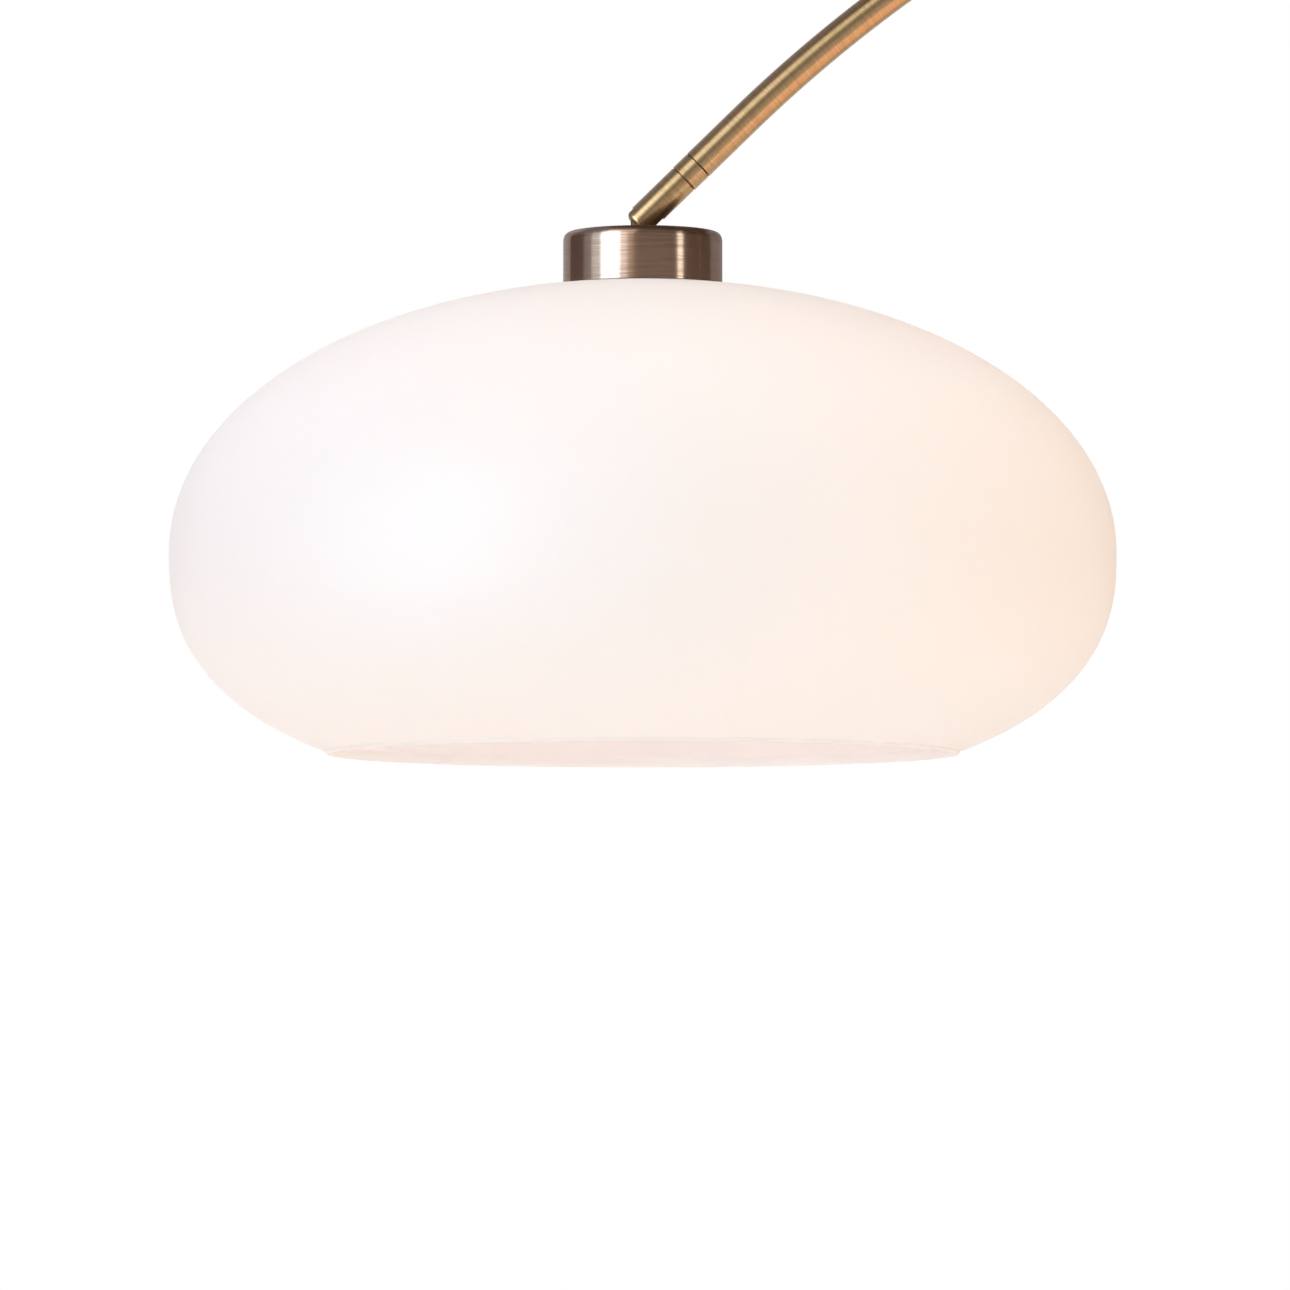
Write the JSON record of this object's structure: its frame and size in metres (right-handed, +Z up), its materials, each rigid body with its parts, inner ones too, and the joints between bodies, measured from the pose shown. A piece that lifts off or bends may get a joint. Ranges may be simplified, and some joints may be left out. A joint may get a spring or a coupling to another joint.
{
  "type": "arc floor lamp",
  "caption": "Arc floor lamp with a weighted round base, a clamp collar on the pole, a bent arc that slides and turns, a swivel and tilt knuckle, and an open-bottomed opal glass shade.",
  "frame": {"origin": "centre of the base's underside, on the floor", "axes": "+Z up along the pole; the arc reaches towards -X; the lead leaves the base towards +X"},
  "size_m": [1.4072, 0.38, 1.9849],
  "materials": {
    "antique_bronze": "satin",
    "zinc_steel": "satin",
    "grey_iron": "matte",
    "felt": "matte",
    "black_rubber": "matte",
    "nylon": "satin",
    "lead_sheath": "satin",
    "holder_plastic": "gloss",
    "silicone": "matte",
    "porcelain": "satin",
    "brass": "satin",
    "opal_glass": "satin",
    "bulb_glass": "gloss"
  },
  "bodies": {
    "root": {"base_pad": "felt", "base_weight": "grey_iron", "base_cover": "antique_bronze", "lead_gland": "black_rubber", "base_stud": "zinc_steel", "base_washer": "zinc_steel", "base_nut": "zinc_steel", "pole_foot": "antique_bronze", "pole_insert": "zinc_steel", "pole_lower": "antique_bronze", "pole_coupler": "zinc_steel", "pole_upper": "antique_bronze", "clamp_collar": "antique_bronze", "collar_bush": "nylon", "collar_grub_screw": "zinc_steel", "lead_pole": "lead_sheath"},
    "clamp_pad": {"clamp_pad": "nylon"},
    "clamp_screw": {"clamp_screw": "antique_bronze"},
    "glide": {"glide_bush": "nylon", "lead_slack": "lead_sheath"},
    "arc": {"arc_lower": "antique_bronze", "arc_spigot": "zinc_steel", "arc_grub_screws": "zinc_steel", "arc_upper": "antique_bronze", "lead_arc": "lead_sheath", "swivel_ring": "antique_bronze"},
    "fork": {"knuckle_fork": "antique_bronze", "swivel_grub_screw": "zinc_steel", "pivot_screw": "zinc_steel", "friction_washers": "nylon"},
    "head": {"knuckle_tongue": "antique_bronze", "shade_cap": "antique_bronze", "stem_nut": "zinc_steel", "holder_dome": "holder_plastic", "holder_skirt": "holder_plastic", "shade_ring_upper": "holder_plastic", "shade_ring_lower": "holder_plastic", "glass_gaskets": "silicone", "glass_shade": "opal_glass", "holder_insert": "porcelain", "holder_shell": "brass", "holder_contact": "brass", "terminal_screws": "brass", "lead_stem": "lead_sheath", "bulb_envelope": "bulb_glass", "bulb_cap": "zinc_steel", "bulb_contact": "brass"}
  },
  "joints": [
    {"name": "arc_height", "type": "slide", "parent": "root", "child": "glide", "axis": [0, 0, 1], "range_m": [-0.12, 0.15], "deforming": ["lead_slack"]},
    {"name": "arc_swing", "type": "hinge", "parent": "glide", "child": "arc", "pos_m": [0, 0, 1], "axis": [0, 0, 1], "range_deg": [-170, 170]},
    {"name": "shade_swivel", "type": "hinge", "parent": "arc", "child": "fork", "pos_m": [-1.02523, 0, 1.77447], "axis": [0.7157, 0, 0.6984], "range_deg": [-150, 150]},
    {"name": "shade_tilt", "type": "hinge", "parent": "fork", "child": "head", "pos_m": [-1.02523, 0, 1.77447], "axis": [0, 1, 0], "range_deg": [-25, 46]},
    {"name": "clamp_pad_slide", "type": "slide", "parent": "root", "child": "clamp_pad", "axis": [1, 0, 0], "range_m": [0, 0.0015]},
    {"name": "clamp_screw_turn", "type": "hinge", "parent": "clamp_pad", "child": "clamp_screw", "pos_m": [0.02, 0, 1.23705], "axis": [1, 0, 0], "range_deg": [0, 540]}
  ],
  "couplings": [
    {"joint": "clamp_screw_turn", "follows": "clamp_pad_slide", "rad_per_m": 6283.2}
  ]
}
